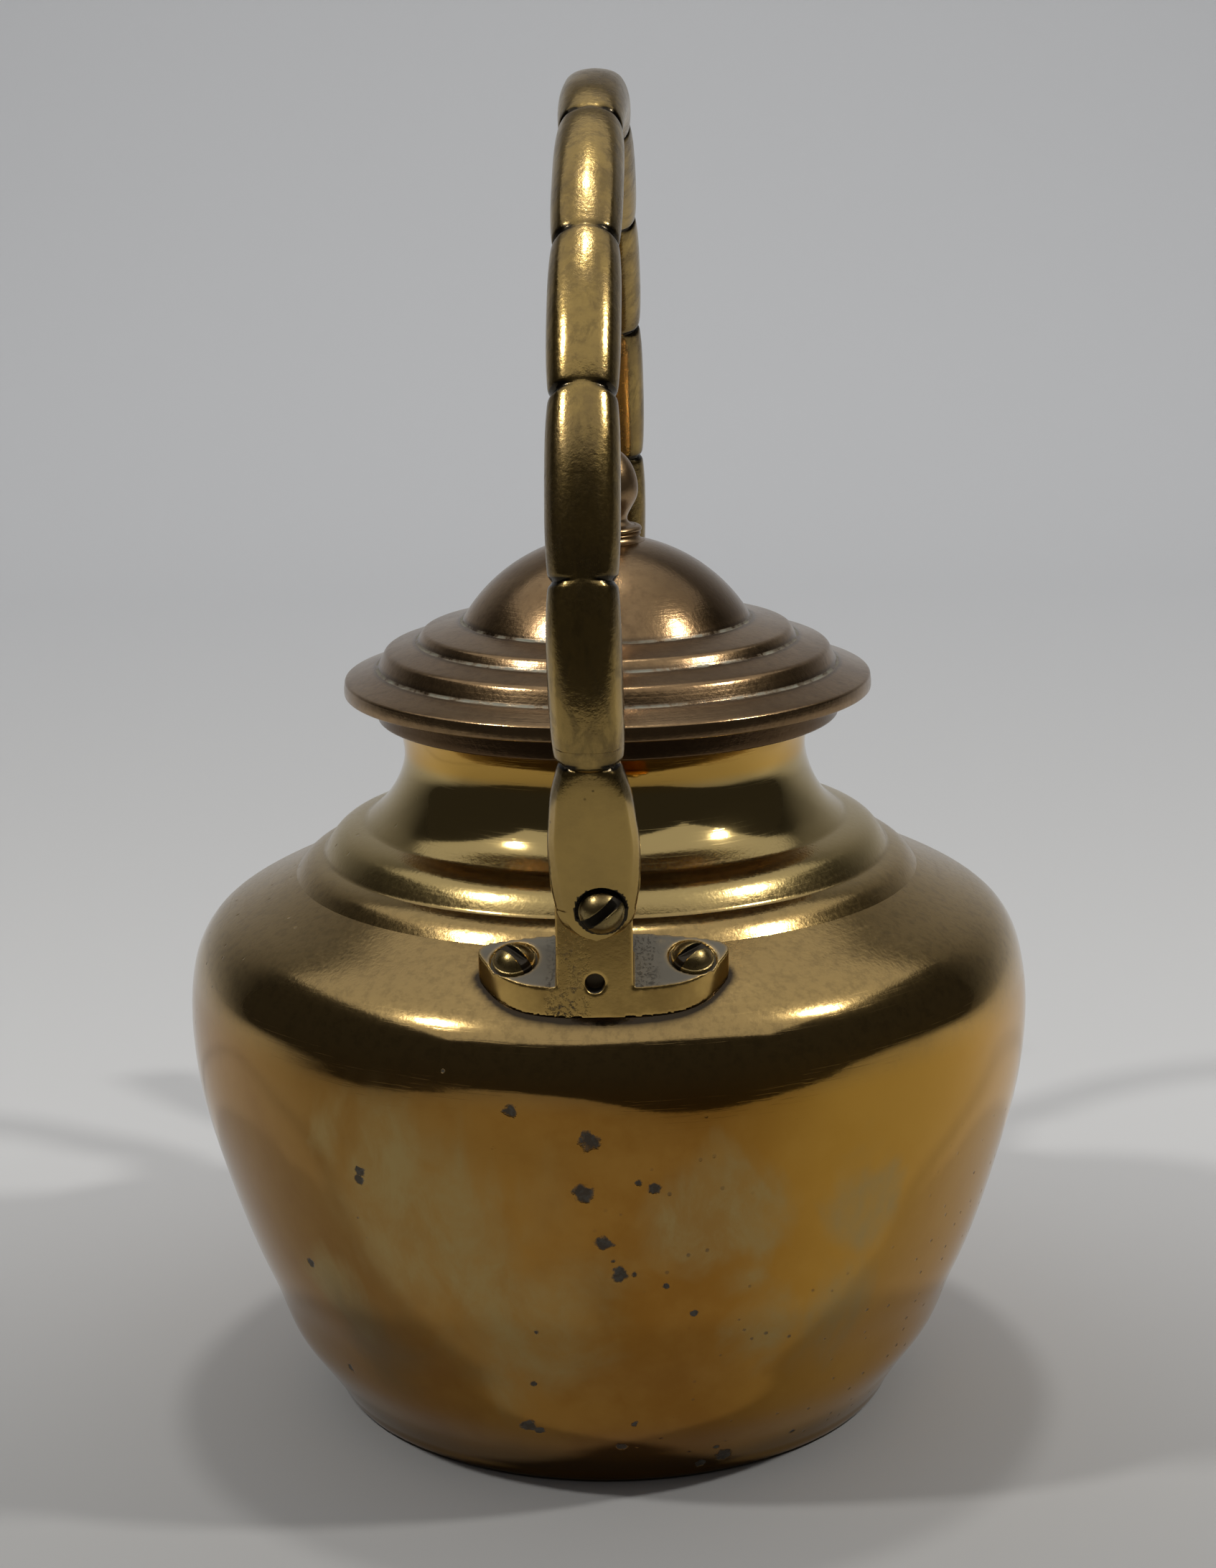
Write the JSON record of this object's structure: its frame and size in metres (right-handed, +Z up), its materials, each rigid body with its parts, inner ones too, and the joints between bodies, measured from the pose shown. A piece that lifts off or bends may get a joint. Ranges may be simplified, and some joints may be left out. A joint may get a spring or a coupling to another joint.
{
  "type": "teapot",
  "caption": "Brass teapot with a stepped lift-off lid, turned finial and an overhead segmented handle on screwed shoulder brackets, spout opposite the view",
  "frame": {"origin": "On the pot's axis, at the centre of the flat ring that it stands on", "axes": "+Z up along the pot's axis, +Y toward the spout, the handle's arch in the Y-Z plane, +X to the right when the spout points away"},
  "size_m": [0.1634, 0.2211, 0.2549],
  "materials": {
    "pot_brass": "polished brass worn and tarnished golden brown, with dark pits",
    "cast_brass": "satin cast brass, olive brown patina",
    "lid_bronze": "satin brown bronze, whitish residue in the corners",
    "screw_brass": "turned brass, dark slots",
    "inner_brass": "dull unpolished brass"
  },
  "bodies": {
    "pot": {"pot_shell": "pot_brass", "pot_shoulder": "pot_brass", "neck_ring": "pot_brass", "base_disc": "pot_brass", "spout": "pot_brass", "rear_bracket": "cast_brass", "front_bracket": "cast_brass", "rear_bracket_screws": "screw_brass", "front_bracket_screws": "screw_brass", "rear_bracket_nuts": "inner_brass", "front_bracket_nuts": "inner_brass", "rear_pivot_screw": "screw_brass", "front_pivot_screw": "screw_brass"},
    "handle": {"handle": "cast_brass"},
    "lid": {"lid_casting": "lid_bronze", "lid_skirt": "inner_brass", "finial": "lid_bronze", "finial_washer": "inner_brass", "finial_nut": "inner_brass"}
  },
  "joints": [
    {"name": "handle_swing", "type": "hinge", "parent": "pot", "child": "handle", "pos_m": [0, 0, 0.1173], "axis": [0, 1, 0], "range_deg": [-135, 135]},
    {"name": "lid_lift", "type": "slide", "parent": "pot", "child": "lid", "axis": [0, 0, 1], "range_m": [0, 0.05]}
  ]
}
